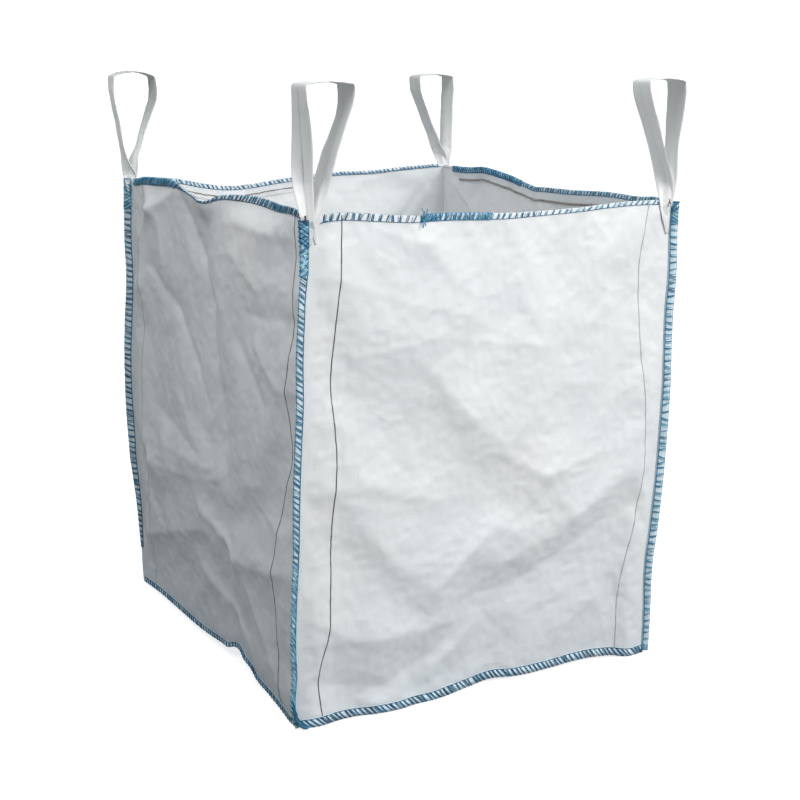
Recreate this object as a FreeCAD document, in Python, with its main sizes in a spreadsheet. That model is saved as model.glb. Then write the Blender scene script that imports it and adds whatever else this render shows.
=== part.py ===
import FreeCAD, Part
import Sketcher
import os
import re

# Open-topped bulk bag standing on its base, in millimetres.
# +X runs along the front panel, +Y from the front to the back and +Z up.
# The origin is the middle of the underside.

DIMENSIONS = {
    # the cloth box
    "bag_width": 860,
    "bag_depth": 930,
    "bag_height": 1000,
    "cloth": 1.5,
    # what moves apart never touches
    "clearance": 0.3,
    # turned-in top edge
    "hem_height": 35,
    "hem_stitch_height": 970,
    "hem_stitch_width": 2,
    # overlock threads
    "thread": 1.2,
    "rim_stitch_drop": 17,
    "rim_stitch_end": 30,
    # seam allowances standing out along the corners and the base
    "flange": 18,
    "flange_thickness": 3,
    "flange_stitch_start": 3,
    "base_flange_height": 18,
    "base_flange_thickness": 4,
    "seam_foot": 21,
    # tracer yarns woven into each panel
    "yarn_inset": 75,
    "yarn_width": 2.5,
    "yarn_height": 0.5,
    # lifting loops
    "webbing": 2.2,
    "webbing_width": 60,
    "folded_width": 27,
    "tail_length": 50,
    "tail_inset": 2,
    "tail_width": 20,
    "tail_rise": 4,
    "tack_drop": 12,
    "tack_length": 12,
    "pivot_out": 2,
    "pivot_rise": 10,
    "eye_radius": 3,
    "crown_height": 1247,
    "crown_inset": 47,
    "crown_span": 92,
    "crown_arch": 4,
    "crown_bend": 6,
}

SIDES = {"front": ("y", -1), "right": ("x", 1), "back": ("y", 1), "left": ("x", -1)}
CORNERS = {"front_left": (-1, -1), "front_right": (1, -1), "back_right": (1, 1), "back_left": (-1, 1)}

doc = FreeCAD.newDocument("bulk_bag")
sub_parts = []


def make_sheet():
    """The spreadsheet that every size in the document is bound to."""
    sheet = doc.addObject("Spreadsheet::Sheet", "sheet")
    for row, (alias, value) in enumerate(DIMENSIONS.items(), start=1):
        sheet.set(f"A{row}", alias)
        sheet.set(f"B{row}", str(value))
        sheet.setAlias(f"B{row}", alias)
    doc.recompute()


def bind(item, name, formula):
    """Bind a property to a formula in which the sheet's aliases are plain words."""
    linked = re.sub(r"[a-z]+(_[a-z]+)+|cloth|clearance|thread|flange|webbing", r"sheet.\g<0>", formula)
    item.setExpression(name, linked)


def keep(item, label):
    """Name a finished sub-part."""
    item.Label = label
    sub_parts.append(item)
    return item


def block(name, x, y, z):
    """A box between pairs of formulas along X, Y and Z."""
    box = doc.addObject("Part::Box", name)
    for size, axis, (low, high) in zip(("Length", "Width", "Height"), "xyz", (x, y, z)):
        bind(box, size, f"({high}) - ({low})")
        bind(box, f"Placement.Base.{axis}", low)
    return box


def side_block(name, side, depth, run_end, z):
    """A box along one wall: depth is measured outward from the wall's outer face."""
    axis, sign = SIDES[side]
    across, along = ("bag_depth", "bag_width") if axis == "y" else ("bag_width", "bag_depth")
    near, far = (f"{across} / 2 + ({value})" for value in depth)
    spread = (near, far) if sign > 0 else (f"-({far})", f"-({near})")
    run = (f"-({along} / 2 - ({run_end}))", f"{along} / 2 - ({run_end})")
    return block(name, run, spread, z) if axis == "y" else block(name, spread, run, z)


def cut(name, base, tool):
    """Base less tool."""
    result = doc.addObject("Part::Cut", name)
    result.Base = base
    result.Tool = tool
    return result


def new_body(name):
    """An empty body and its three origin planes by role."""
    body = doc.addObject("PartDesign::Body", name)
    planes = {feature.Role: feature for feature in body.Origin.OriginFeatures}
    return body, planes


def outline(body, name, plane, points):
    """A closed sketch whose corners are bound to pairs of formulas."""
    sketch = body.newObject("Sketcher::SketchObject", name)
    sketch.AttachmentSupport = [(plane, "")]
    sketch.MapMode = "FlatFace"
    count = len(points)
    spots = [FreeCAD.Vector(10 * i, 10 * i * (count - i), 0) for i in range(count)]
    for i in range(count):
        sketch.addGeometry(Part.LineSegment(spots[i], spots[(i + 1) % count]), False)
    for i in range(count):
        sketch.addConstraint(Sketcher.Constraint("Coincident", i, 2, (i + 1) % count, 1))
    for i, corner in enumerate(points):
        for kind, start, formula in zip(("DistanceX", "DistanceY"), (spots[i].x, spots[i].y), corner):
            index = sketch.addConstraint(Sketcher.Constraint(kind, -1, 1, i, 1, start))
            bind(sketch, f"Constraints[{index}]", formula)
    return sketch


def corner_section(name, corner, points, bottom, length):
    """An upright strip at a corner, whose section is drawn with +X pointing out along the diagonal."""
    east, north = CORNERS[corner]
    body, planes = new_body(name)
    sketch = outline(body, name + "_section", planes["XY_Plane"], points)
    pad = body.newObject("PartDesign::Pad", name + "_pad")
    pad.Profile = sketch
    bind(pad, "Length", length)
    turn = {(1, 1): 45, (-1, 1): 135, (-1, -1): 225, (1, -1): 315}[(east, north)]
    body.Placement.Rotation = FreeCAD.Rotation(FreeCAD.Vector(0, 0, 1), turn)
    bind(body, "Placement.Base.x", f"{east} * bag_width / 2")
    bind(body, "Placement.Base.y", f"{north} * bag_depth / 2")
    bind(body, "Placement.Base.z", bottom)
    return body


def make_walls():
    """Base sheet and four wall sheets, with the tracer yarns that show on the walls' outer faces."""
    half_width, half_depth = "bag_width / 2", "bag_depth / 2"
    base = block("base_panel", (f"-{half_width}", half_width), (f"-{half_depth}", half_depth), ("0", "cloth"))
    keep(base, "base_panel")
    for side, (axis, _) in SIDES.items():
        run_end = "0" if axis == "y" else "cloth"
        wall = side_block(f"side_panel_{side}", side, ("-cloth", "0"), run_end, ("cloth", "bag_height"))
        keep(wall, f"side_panel_{side}")
        outer = side_block(f"yarns_outer_{side}", side, ("0", "yarn_height"), "yarn_inset",
                           ("seam_foot", "bag_height - rim_stitch_drop - cloth"))
        middle = side_block(f"yarns_middle_{side}", side, ("-1", "yarn_height + 1"),
                            "yarn_inset + yarn_width", ("0", "bag_height"))
        keep(cut(f"marker_yarns_{side}", outer, middle), f"marker_yarns_{side}")


def make_rim():
    """Turned-in hem, the overlock over the top edge and the line of stitches along the hem's foot."""
    hem_face = "-(2 * cloth + clearance)"
    for side, (axis, _) in SIDES.items():
        hem_end = "cloth + clearance" if axis == "y" else "2 * cloth + clearance"
        hem = side_block(f"rim_hem_{side}", side, (hem_face, "-(cloth + clearance)"), hem_end,
                         ("bag_height - hem_height", "bag_height"))
        keep(hem, f"rim_hem_{side}")
        wrap = side_block(f"rim_wrap_{side}", side, (f"{hem_face} - thread", "clearance + thread"),
                          "rim_stitch_end", ("bag_height - rim_stitch_drop", "bag_height + clearance + thread"))
        core = side_block(f"rim_core_{side}", side, (hem_face, "clearance"), "0",
                          ("bag_height - hem_height", "bag_height + clearance"))
        keep(cut(f"rim_thread_{side}", wrap, core), f"rim_thread_{side}")
        line = side_block(f"hem_thread_{side}", side, (f"{hem_face} - thread / 2", hem_face),
                          "rim_stitch_end", ("hem_stitch_height", "hem_stitch_height + hem_stitch_width"))
        keep(line, f"hem_thread_{side}")


def make_base_seams():
    """Seam allowance turned up round the foot of each wall, and the overlock round it."""
    for side in SIDES:
        seam = side_block(f"base_seam_{side}", side, ("0", "base_flange_thickness"), "0",
                          ("thread", "thread + base_flange_height"))
        keep(seam, f"base_seam_{side}")
        wrap = side_block(f"base_wrap_{side}", side, ("0", "base_flange_thickness + thread"), "0",
                          ("0", "2 * thread + base_flange_height"))
        core = side_block(f"base_core_{side}", side, ("-1", "base_flange_thickness"), "-10",
                          ("thread", "thread + base_flange_height"))
        keep(cut(f"base_thread_{side}", wrap, core), f"base_thread_{side}")


def make_corner_seams():
    """Seam allowance standing out along each upright corner, and the overlock round its free edge."""
    half = "flange_thickness / 2"
    outer = "flange_thickness / 2 + thread"
    start, tip = "flange_stitch_start", "flange + thread"
    flat = [("0", f"-{half}"), ("flange", f"-{half}"), ("flange", half), ("0", half)]
    sleeve = [(start, f"-({outer})"), (tip, f"-({outer})"), (tip, outer), (start, outer),
              (start, half), ("flange", half), ("flange", f"-{half}"), (start, f"-{half}")]
    for corner in CORNERS:
        for kind, section in (("corner_seam", flat), ("corner_thread", sleeve)):
            name = f"{kind}_{corner}"
            keep(corner_section(name, corner, section, "seam_foot", "bag_height - seam_foot"), name)


def make_loop_tails():
    """The sewn ends of each loop, doubled against the wall beside the corner, and their bar tack."""
    for corner, (east, north) in CORNERS.items():
        inner = f"{east} * (bag_width / 2 - tail_inset - tail_width)"
        outer = f"{east} * (bag_width / 2 - tail_inset)"
        face = "bag_depth / 2 + clearance"
        x = (inner, outer) if east > 0 else (outer, inner)
        y = (face, f"{face} + 2 * webbing")
        tack_y = (y[1], f"{y[1]} + thread")
        tack_x = (f"({inner} + {outer} - tack_length) / 2", f"({inner} + {outer} + tack_length) / 2")
        tack_z = ("bag_height - tack_drop", "bag_height - tack_drop + 2 * thread")
        if north < 0:
            y = (f"-({y[1]})", f"-({y[0]})")
            tack_y = (f"-({tack_y[1]})", f"-({tack_y[0]})")
        leg = block(f"loop_leg_{corner}", x, y, ("bag_height - tail_length", "bag_height + tail_rise"))
        keep(leg, f"loop_leg_{corner}")
        keep(block(f"loop_tack_{corner}", tack_x, tack_y, tack_z), f"loop_tack_{corner}")


def make_loop(corner):
    """Free part of a lifting loop: two legs rising from one foot to a flat crown.

    The body's frame lies at the foot's pivot, with +X pointing in across the bag.
    """
    east, north = CORNERS[corner]
    name = f"lifting_loop_{corner}"
    body, planes = new_body(name)
    top = "(crown_height - bag_height - pivot_rise)"
    near = "(crown_inset + pivot_out - crown_span / 2)"
    far = "(crown_inset + pivot_out + crown_span / 2)"
    outside = [("-eye_radius", "-eye_radius"), ("eye_radius", "-eye_radius"), ("eye_radius", "eye_radius"),
               (far, f"{top} - crown_bend"), (f"{far} - crown_bend", top),
               (f"({near} + {far}) / 2", f"{top} + crown_arch"),
               (f"{near} + crown_bend", top), (near, f"{top} - crown_bend"), ("-eye_radius", "eye_radius")]
    opening = [(f"{near} + webbing", f"{top} - crown_bend - webbing / 2"),
               (f"{near} + crown_bend + webbing / 2", f"{top} - webbing"),
               (f"({near} + {far}) / 2", f"{top} + crown_arch - webbing"),
               (f"{far} - crown_bend - webbing / 2", f"{top} - webbing"),
               (f"{far} - webbing", f"{top} - crown_bend - webbing / 2"),
               ("webbing", "9 * webbing")]
    narrow, wide = "folded_width / 2", "webbing_width / 2"
    pad = body.newObject("PartDesign::Pad", name + "_pad")
    pad.Profile = outline(body, name + "_outside", planes["XZ_Plane"], outside)
    bind(pad, "Length", "webbing_width")
    pad.Midplane = True
    doc.recompute()
    full = body.Shape.Volume
    gap = body.newObject("PartDesign::Pocket", name + "_gap")
    gap.Profile = outline(body, name + "_opening", planes["XZ_Plane"], opening)
    gap.Type = "ThroughAll"
    gap.Midplane = True
    doc.recompute()
    hollow = body.Shape.Volume
    assert hollow < full
    for hand in ("", "-"):
        side = [(f"{hand}({narrow})", "-2 * eye_radius"), (f"{hand}({narrow} + webbing_width)", "-2 * eye_radius"),
                (f"{hand}({wide} + webbing_width)", top), (f"{hand}({wide})", top)]
        taper = body.newObject("PartDesign::Pocket", name + "_taper")
        taper.Profile = outline(body, name + "_side", planes["YZ_Plane"], side)
        taper.Type = "ThroughAll"
        taper.Midplane = True
        doc.recompute()
        assert body.Shape.Volume < hollow
        hollow = body.Shape.Volume
    if east > 0:
        body.Placement.Rotation = FreeCAD.Rotation(FreeCAD.Vector(0, 0, 1), 180)
    bind(body, "Placement.Base.x", f"{east} * (bag_width / 2 + pivot_out)")
    bind(body, "Placement.Base.y", f"{north} * bag_depth / 2")
    bind(body, "Placement.Base.z", "bag_height + pivot_rise")
    keep(body, name)


def check_document():
    """Stop if any object failed or any sub-part isn't a valid closed shape."""
    doc.recompute()
    for item in doc.Objects:
        if "Invalid" in item.State or "Error" in item.State:
            raise RuntimeError(f"{item.Name} failed: {item.State}")
    for item in sub_parts:
        if item.Shape.isNull() or not item.Shape.isValid() or not item.Shape.Solids:
            raise RuntimeError(f"{item.Label} has no valid solid")


def write_parts():
    """Write one STEP file for each sub-part."""
    os.makedirs("parts", exist_ok=True)
    for item in sub_parts:
        item.Shape.exportStep(f"parts/{item.Label}.step")
    print(f"{len(sub_parts)} sub-parts, {sum(len(item.Shape.Solids) for item in sub_parts)} solids")


make_sheet()
make_walls()
make_rim()
make_base_seams()
make_corner_seams()
make_loop_tails()
for corner in CORNERS:
    make_loop(corner)
check_document()
write_parts()
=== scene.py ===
import math
import random

import bpy
import numpy as np
from mathutils import Matrix, Vector
from mathutils.geometry import delaunay_2d_cdt


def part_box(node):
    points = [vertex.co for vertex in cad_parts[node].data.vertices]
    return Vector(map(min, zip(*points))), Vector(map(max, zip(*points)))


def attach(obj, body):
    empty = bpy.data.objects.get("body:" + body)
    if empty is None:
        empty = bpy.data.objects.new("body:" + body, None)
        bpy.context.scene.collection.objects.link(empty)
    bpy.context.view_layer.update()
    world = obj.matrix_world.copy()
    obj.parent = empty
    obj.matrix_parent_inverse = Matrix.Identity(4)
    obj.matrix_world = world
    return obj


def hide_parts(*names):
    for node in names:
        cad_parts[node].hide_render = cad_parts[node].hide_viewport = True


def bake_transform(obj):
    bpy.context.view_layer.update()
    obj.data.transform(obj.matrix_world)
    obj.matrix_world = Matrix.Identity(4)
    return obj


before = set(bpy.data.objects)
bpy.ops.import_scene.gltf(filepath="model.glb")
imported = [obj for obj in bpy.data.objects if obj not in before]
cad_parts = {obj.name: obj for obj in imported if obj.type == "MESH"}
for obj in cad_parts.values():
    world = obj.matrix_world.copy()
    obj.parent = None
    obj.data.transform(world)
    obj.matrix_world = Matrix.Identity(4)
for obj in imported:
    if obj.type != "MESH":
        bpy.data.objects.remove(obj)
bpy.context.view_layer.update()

# ---------------------------------------------------------------- sizes from the frame, in metres
FRONT_LOW, FRONT_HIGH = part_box("side_panel_front")
WIDTH = FRONT_HIGH.x - FRONT_LOW.x
HEIGHT = FRONT_HIGH.z
DEPTH = 2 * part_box("side_panel_back")[1].y
FLANGE = 0.018
CLOTH = 0.0009
PLY_GAP = 0.0006
PLY_HALF = 0.0004

CORNERS = {
    "front_left": np.array((-WIDTH / 2, -DEPTH / 2)),
    "front_right": np.array((WIDTH / 2, -DEPTH / 2)),
    "back_right": np.array((WIDTH / 2, DEPTH / 2)),
    "back_left": np.array((-WIDTH / 2, DEPTH / 2)),
}
# each side runs from its first corner to its second, anticlockwise seen from above
SIDES = {
    "front": ("front_left", "front_right"),
    "right": ("front_right", "back_right"),
    "back": ("back_right", "back_left"),
    "left": ("back_left", "front_left"),
}
SIDE_LENGTH = {"front": WIDTH, "right": DEPTH, "back": WIDTH, "left": DEPTH}
OUTWARD = {"front": (0, -1, 0), "right": (1, 0, 0), "back": (0, 1, 0), "left": (-1, 0, 0)}
# quads across and up each wall for the simulation, and how many times finer the finished walls are
COLUMNS = {"front": 76, "right": 82, "back": 76, "left": 82}
ROWS = 88
FINER = 2

# ---------------------------------------------------------------- how the standing cloth lies
def thousandths(tables):
    """Tables whose places, heights and lengths are written in thousandths of a side or of a metre."""
    return {name: np.array(rows) / 1000 for name, rows in tables.items()}


# height of the rim along each side, from its first corner to its second
RIM = thousandths({
    "front": (
        (0, 1003), (30, 1010), (60, 1013), (150, 1009), (200, 1005), (270, 1001), (330, 1002), (450, 999),
        (520, 996.5), (600, 997), (730, 1000.5), (820, 1006), (910, 1009), (970, 1008), (1000, 1005)),
    "right": (
        (0, 1005), (50, 1010), (100, 1006), (220, 1006), (350, 999), (480, 995), (530, 992), (590, 998.5),
        (640, 1007.5), (705, 1014.5), (780, 1019), (860, 1013), (1000, 1010)),
    "back": (
        (0, 1010), (30, 1014), (70, 1012), (140, 1009.5), (260, 1003), (380, 1002), (510, 993), (580, 987),
        (630, 981), (700, 975.5), (740, 977), (810, 986), (850, 993.5), (890, 999), (1000, 1001)),
    "left": (
        (0, 1001), (30, 1002), (80, 1009), (160, 1014), (260, 1017.5), (310, 1014.5), (345, 1008), (400, 1002),
        (460, 998), (495, 994), (515, 995), (550, 1008), (600, 1012.5), (800, 1011.5), (950, 1012.5), (1000, 1003)),
})
# lift of the foot seam off the floor, and its bow towards the inside
FOOT_LIFT = thousandths({
    "front": (
        (0, 0), (360, 0), (420, 2), (470, 5.5), (540, 9), (600, 5.8), (700, 6), (860, 7.2), (910, 4), (940, 0),
        (1000, 0)),
    "right": ((0, 1), (400, 10), (1000, 1)),
    "back": ((0, 1), (500, 10), (1000, 1)),
    "left": (
        (0, 3), (100, 7.7), (260, 10), (430, 12.7), (540, 18.7), (575, 21), (590, 27), (620, 29.4), (665, 23),
        (715, 19.9), (760, 13.1), (830, 9.8), (920, 4.1), (970, 0), (1000, 0)),
})
FOOT_BOW = thousandths({
    "front": (
        (0, -2), (40, -8), (110, 0), (150, -1), (190, -9), (260, -12), (300, -6), (360, -4), (420, 5), (470, 11),
        (540, 18), (600, 12), (860, 14.5), (910, 8.6), (945, -4), (1000, 0)),
    "right": ((0, 0), (500, 20), (1000, 0)),
    "back": ((0, 0), (500, 18), (1000, 0)),
    "left": (
        (0, 4), (100, 7.4), (260, 9.5), (430, 12), (540, 17.7), (575, 20), (590, 25.4), (620, 28), (665, 21.7),
        (715, 18.8), (760, 12.4), (830, 9.3), (920, 4.1), (970, 0), (1000, 0)),
})
# how far the mouth is drawn in along each side, and how far its very edge is turned out
RIM_BOW = thousandths({
    "front": ((0, 0), (300, 4), (600, 8), (1000, 0)),
    "right": ((0, 0), (350, 4), (500, 8), (650, 4), (1000, 0)),
    "back": ((0, 0), (400, 6), (680, 10), (1000, 0)),
    "left": ((0, 0), (300, 0), (500, 2), (700, 2), (1000, 0)),
})
RIM_TURN = thousandths({
    "front": ((0, 0), (1000, 0)),
    "right": ((0, 0), (500, 0), (560, 6), (640, 0), (1000, 0)),
    "back": ((0, 0), (620, 0), (700, 6), (800, 0), (1000, 0)),
    "left": ((0, 0), (280, 0), (360, 8), (440, 18), (500, 24), (525, 14), (550, 0), (1000, 0)),
})
# sideways lean of each upright corner seam at a height: x and y
CORNER_X = thousandths({
    "front_left": (
        (0, -2), (30, -9), (55, -12), (110, -8), (170, -10), (270, -8), (370, -2), (470, 0), (570, 3), (650, 7),
        (760, 7), (810, 9), (857, 11), (900, 16), (950, 18), (1000, 18)),
    "front_right": (
        (0, -16), (110, -18), (170, -21), (230, -20), (285, -14), (340, -10), (400, -6), (510, -2), (620, 0),
        (730, -3), (785, -3), (840, 0), (900, -1), (950, -3), (1000, -4)),
    "back_right": ((0, 0), (500, 10), (1000, 0)),
    "back_left": (
        (0, 12), (110, 12), (215, 10), (270, 6), (320, 2), (370, 1), (470, -2), (570, -2), (667, 3), (760, 8),
        (860, 6), (950, 8), (1000, 10)),
})
CORNER_Y = thousandths({
    "front_left": ((0, 0), (500, -2), (1000, 0)),
    "front_right": ((0, 0), (500, -2), (1000, 0)),
    "back_right": ((0, 0), (500, 10), (1000, 0)),
    "back_left": ((0, 0), (300, 2), (550, 6), (800, 4), (1000, 4)),
})
# folds set in the cloth: start (share of side, height), end (share, height), height of the ridge, and how wide its
# slope is on its upper and its lower side
CREASES = thousandths({
    "left": (
        (80, 995, 160, 930, 12, 18, 26), (160, 930, 300, 985, 13, 18, 26), (10, 620, 70, 750, 11, 30, 14),
        (70, 750, 90, 870, 13, 30, 14), (90, 870, 160, 940, 12, 28, 14), (190, 920, 220, 780, 5, 16, 22),
        (350, 970, 450, 870, -9, 28, 34), (450, 870, 500, 780, -8, 26, 40), (500, 780, 530, 660, -8, 24, 45),
        (530, 660, 600, 480, -8, 26, 40), (600, 480, 610, 390, -5, 22, 34), (120, 800, 300, 720, -7, 30, 18),
        (300, 720, 420, 630, -7, 30, 18), (420, 630, 490, 560, -5, 26, 20), (190, 470, 450, 430, -5, 24, 20),
        (110, 390, 540, 410, 5, 40, 20), (10, 440, 140, 340, 7, 50, 28), (140, 330, 580, 390, 8, 80, 30),
        (500, 880, 630, 880, 4.5, 26, 12), (630, 880, 750, 830, 4.5, 20, 14), (520, 810, 560, 775, 4.5, 10, 12),
        (700, 770, 950, 790, -6, 22, 50), (670, 690, 790, 600, -6.5, 28, 18), (750, 710, 880, 650, 6.5, 30, 20),
        (880, 650, 970, 660, 4, 30, 16), (720, 410, 780, 430, 4, 14, 12), (770, 390, 900, 360, 6, 30, 18),
        (490, 310, 660, 230, 9.5, 16, 30), (50, 130, 500, 265, 12, 110, 34), (660, 225, 970, 300, 10.5, 100, 34),
        (480, 160, 660, 70, 8, 16, 26), (720, 180, 860, 80, 6, 30, 30), (620, 925, 950, 925, -4.5, 30, 50),
        (800, 950, 860, 600, 3.5, 40, 40)),
    "front": (
        (40, 885, 420, 800, 9, 110, 40), (420, 800, 620, 725, 7.5, 100, 36), (120, 730, 330, 762, 7.5, 40, 34),
        (330, 762, 640, 725, 7.5, 40, 36), (310, 705, 430, 590, 8, 70, 24), (430, 590, 530, 525, 7, 80, 26),
        (170, 975, 300, 945, 6, 30, 32), (300, 945, 380, 865, 6, 60, 24), (500, 515, 660, 447, 7, 70, 26),
        (660, 447, 770, 470, 6, 50, 22), (660, 447, 710, 385, 5, 16, 20), (30, 472, 200, 470, 6, 90, 30),
        (200, 470, 360, 428, 6.5, 80, 30), (150, 395, 280, 280, 5.5, 40, 24), (360, 240, 490, 335, 7.5, 30, 34),
        (500, 365, 580, 330, 4.5, 50, 24), (540, 260, 750, 345, 9.5, 110, 40), (750, 345, 970, 435, 9, 110, 40),
        (440, 196, 620, 222, -6, 24, 70), (620, 222, 940, 352, -6.5, 26, 80), (20, 172, 200, 160, 8.5, 90, 36),
        (200, 160, 410, 165, 8.5, 80, 38), (40, 85, 220, 52, -6, 30, 50), (220, 52, 410, 118, -6, 30, 50),
        (360, 70, 480, 135, 6, 26, 30), (10, 225, 110, 185, 5, 40, 24), (700, 930, 880, 900, 5, 60, 70),
        (720, 640, 950, 600, 4, 60, 40), (600, 140, 900, 200, 4.5, 40, 40)),
    "right": (
        (50, 900, 400, 600, 10, 50, 40), (440, 720, 500, 990, -14, 40, 30), (400, 600, 800, 300, -10, 50, 40),
        (620, 620, 950, 960, 10, 40, 30), (800, 970, 990, 800, 9, 30, 24), (995, 985, 860, 900, -10, 20, 40),
        (150, 400, 550, 120, 12, 50, 40), (700, 500, 900, 140, 10, 50, 40), (50, 300, 300, 340, 8, 60, 30)),
    "back": (
        (20, 990, 200, 800, 12, 40, 30), (20, 900, 100, 985, -8, 24, 24), (5, 985, 130, 780, 10, 44, 22),
        (220, 800, 500, 550, -10, 50, 40), (600, 700, 700, 980, -10, 45, 40), (600, 700, 850, 400, 10, 50, 40),
        (200, 450, 550, 200, 12, 50, 40), (600, 300, 900, 120, -10, 45, 40)),
})
# loose facets all over: how many corner points a side has, and how far they stand in or out
FACETS = {
    "front": ((26, 0.0035), (90, 0.0016), (300, 0.0007)),
    "right": ((44, 0.007), (140, 0.0026), (420, 0.001)),
    "back": ((44, 0.007), (140, 0.0026), (420, 0.001)),
    "left": ((50, 0.004), (160, 0.0022), (480, 0.0012)),
}
FOLD_STRENGTH = {"front": 0.72, "right": 1.0, "back": 1.0, "left": 0.9}


def curve(points, where):
    """A smooth line through a few (place, value) points."""
    places, values = np.array(points, float).T
    slopes = np.gradient(values, places)
    where = np.clip(np.asarray(where, float), places[0], places[-1])
    i = np.clip(np.searchsorted(places, where, side="right") - 1, 0, len(places) - 2)
    span = places[i + 1] - places[i]
    t = (where - places[i]) / span
    return ((2 * t**3 - 3 * t**2 + 1) * values[i] + (t**3 - 2 * t**2 + t) * span * slopes[i]
            + (3 * t**2 - 2 * t**3) * values[i + 1] + (t**3 - t**2) * span * slopes[i + 1])


def smooth(x):
    """0 below 0, 1 above 1, and an even step between."""
    x = np.clip(x, 0, 1)
    return x * x * (3 - 2 * x)


def unit(vectors):
    """The same directions at length 1."""
    return vectors / np.linalg.norm(vectors, axis=-1, keepdims=True)


def even_grid(columns, rows):
    """Share along a side and level up it at each point of a grid."""
    return np.meshgrid(np.linspace(0, 1, columns), np.linspace(0, 1, rows), indexing="ij")


def draws(name, more):
    """A source of random draws of a piece's own, the same in every run."""
    return random.Random(sum(map(ord, name)) + more)


def faceted(seed, count, height, share, level):
    """Random height field made of flat triangles that meet in sharp folds."""
    chance = random.Random(seed)
    spots, heights = [], []
    for i in range(5):
        for edge in ((i / 4, 0), (i / 4, 1), (0, i / 4), (1, i / 4)):
            spots.append(Vector(edge))
            heights.append(0.0)
    while len(spots) < count + 20:
        spot = Vector((chance.uniform(0.04, 0.96), chance.uniform(0.04, 0.96)))
        if min((spot - other).length for other in spots) > 0.45 / math.sqrt(count):
            spots.append(spot)
            heights.append(chance.uniform(-height, height))
    points, _, faces, origins, _, _ = delaunay_2d_cdt(spots, [], [], 0, 1e-6)
    values = [heights[origin[0]] for origin in origins]
    field = np.zeros_like(share)
    for face in faces:
        (ax, ay), (bx, by), (cx, cy) = (points[k] for k in face)
        area = (bx - ax) * (cy - ay) - (cx - ax) * (by - ay)
        v = ((share - ax) * (cy - ay) - (cx - ax) * (level - ay)) / area
        w = ((bx - ax) * (level - ay) - (share - ax) * (by - ay)) / area
        inside = (v >= -1e-6) & (w >= -1e-6) & (v + w <= 1 + 1e-6)
        plane = values[face[0]] * (1 - v - w) + values[face[1]] * v + values[face[2]] * w
        field[inside] = plane[inside]
    return field


def folds(creases, length, share, level):
    """Height of the set folds: each is a ridge with a sharp crest that fades at its ends."""
    field = np.zeros_like(share)
    for start, low, end, high, height, above, below in creases:
        a = np.array((start * length, low * HEIGHT))
        b = np.array((end * length, high * HEIGHT))
        run = np.linalg.norm(b - a)
        way = (b - a) / run
        px, pz = share * length - a[0], level * HEIGHT - a[1]
        along = (px * way[0] + pz * way[1]) / run
        off = pz * way[0] - px * way[1]
        beyond = np.maximum(np.maximum(-along, along - 1), 0) * run
        width = np.where(off > 0, above, below)
        field += height * np.exp(-np.sqrt((off / width)**2 + (beyond / 0.03)**2))
    return field


def soften(field, times):
    """Round the sharpest folds a little."""
    for _ in range(times):
        padded = np.pad(field, 1, mode="edge")
        field = (4 * field + padded[:-2, 1:-1] + padded[2:, 1:-1] + padded[1:-1, :-2] + padded[1:-1, 2:]) / 8
    return field


def corner_line(corner, z):
    """Where an upright corner seam stands at each height."""
    x = CORNERS[corner][0] + curve(CORNER_X[corner], z / HEIGHT)
    y = CORNERS[corner][1] + curve(CORNER_Y[corner], z / HEIGHT)
    return np.stack((x, y), -1)


def side_grid(side, fineness=1):
    """Points of one wall, [column, row, xyz], from its first corner to its second and from foot to rim."""
    first, second = SIDES[side]
    share, level = even_grid(COLUMNS[side] * fineness + 1, ROWS * fineness + 1)
    foot, rim = curve(FOOT_LIFT[side], share), curve(RIM[side], share)
    z = 0.0025 + foot + level * (rim - foot - 0.0025)
    line = (1 - share)[..., None] * corner_line(first, z) + share[..., None] * corner_line(second, z)
    length = SIDE_LENGTH[side]
    field = FOLD_STRENGTH[side] * folds(CREASES[side], length, share, level)
    for k, (count, height) in enumerate(FACETS[side]):
        field += faceted(sum(map(ord, side)) + 7 * k, count, height, share, level)
    edge = smooth(np.minimum(share, 1 - share) * length / 0.05)
    edge *= 0.35 + 0.65 * smooth((1 - level) * HEIGHT / 0.06)
    edge *= 0.15 + 0.85 * smooth(level * HEIGHT / 0.05)
    offset = soften(field * edge, fineness)
    offset -= curve(FOOT_BOW[side], share) * (1 - level)**3
    offset -= curve(RIM_BOW[side], share) * level**4
    offset += curve(RIM_TURN[side], share) * smooth((level - 0.94) / 0.06)
    line = line + offset[..., None] * np.array(OUTWARD[side][:2])
    return np.concatenate((line, z[..., None]), -1)


def new_object(name, points, faces):
    """A mesh object in the scene."""
    mesh = bpy.data.meshes.new(name)
    mesh.from_pydata(points, [], faces)
    made = bpy.data.objects.new(name, mesh)
    bpy.context.scene.collection.objects.link(made)
    return made


def grid_faces(columns, rows, around=False, first=0):
    """Quads of a grid of points, closed along its first direction if around."""
    index = first + np.arange(columns * rows).reshape(columns, rows)
    after = np.roll(index, -1, axis=0) if around else index[1:]
    index = index if around else index[:-1]
    return np.stack((index[:, :-1], after[:, :-1], after[:, 1:], index[:, 1:]), -1).reshape(-1, 4).tolist()


# how the cloth behaves in the simulation, how long it runs, and the most that a point may move
CLOTH_SETTINGS = {
    "quality": 6, "mass": 0.12, "shrink_min": -0.0032, "tension_stiffness": 40, "compression_stiffness": 40,
    "shear_stiffness": 20, "bending_stiffness": 6, "tension_damping": 20, "compression_damping": 20,
    "shear_damping": 15, "bending_damping": 2, "air_damping": 4,
}
GRAVITY_SHARE = 0.1
SIMULATED_FRAMES = 22
MOST_MOVED = 0.012


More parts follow.
